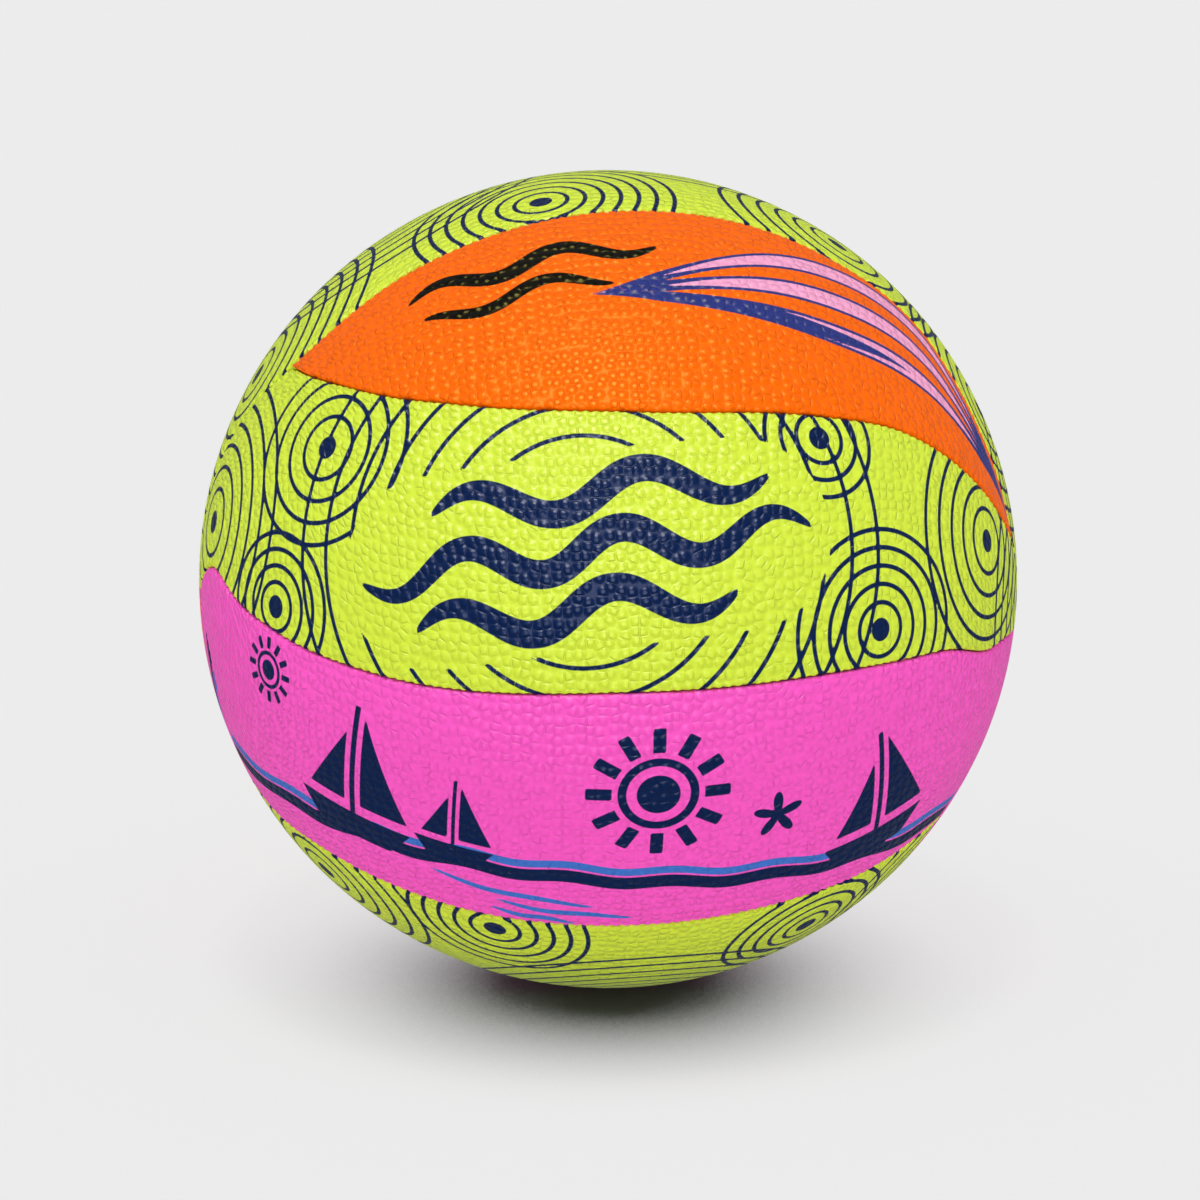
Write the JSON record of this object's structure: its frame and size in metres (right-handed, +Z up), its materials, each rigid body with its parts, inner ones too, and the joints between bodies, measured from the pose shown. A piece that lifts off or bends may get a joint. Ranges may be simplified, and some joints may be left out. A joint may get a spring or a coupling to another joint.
{
  "type": "volleyball",
  "caption": "Sewn beach volleyball with swirled panels in yellow, orange and pink, foam-backed covers, an air bladder and a needle valve with a pull-out plug.",
  "frame": {"origin": "centre of the ball", "axes": "+Z up, +Y out through the valve, panels run from pole to pole along X"},
  "size_m": [0.2132, 0.2131, 0.2132],
  "materials": {
    "cover_yellow": "satin pebbled synthetic leather, yellow-green",
    "cover_orange": "satin pebbled synthetic leather, orange",
    "cover_pink": "satin pebbled synthetic leather, pink",
    "foam": "matt closed-cell foam",
    "lining": "plain woven cloth",
    "thread": "waxed polyester thread",
    "bladder": "matt butyl rubber",
    "valve_housing": "matt rubber",
    "valve_plug": "smooth rubber"
  },
  "bodies": {
    "ball": {"cover_upper_under": "cover_yellow", "cover_upper_lens": "cover_orange", "cover_upper_over": "cover_yellow", "cover_back_under": "cover_orange", "cover_back_lens": "cover_pink", "cover_back_over": "cover_orange", "cover_lower_under": "cover_pink", "cover_lower_lens": "cover_yellow", "cover_lower_over": "cover_pink", "foam_upper_under": "foam", "foam_upper_lens": "foam", "foam_upper_over": "foam", "foam_back_under": "foam", "foam_back_lens": "foam", "foam_back_over": "foam", "foam_lower_under": "foam", "foam_lower_lens": "foam", "foam_lower_over": "foam", "lining_upper_under": "lining", "lining_upper_lens": "lining", "lining_upper_over": "lining", "lining_back_under": "lining", "lining_back_lens": "lining", "lining_back_over": "lining", "lining_lower_under": "lining", "lining_lower_lens": "lining", "lining_lower_over": "lining", "stitching_upper_under": "thread", "stitching_upper_lens": "thread", "stitching_upper_over": "thread", "stitching_back_under": "thread", "stitching_back_lens": "thread", "stitching_back_over": "thread", "stitching_lower_under": "thread", "stitching_lower_lens": "thread", "stitching_lower_over": "thread", "bladder": "bladder", "valve_patch": "lining", "valve_housing": "valve_housing"},
    "valve_plug": {"valve_plug": "valve_plug"}
  },
  "joints": [
    {"name": "valve_plug_pull", "type": "slide", "parent": "ball", "child": "valve_plug", "axis": [0, 1, 0], "range_m": [0, 0.022]}
  ]
}
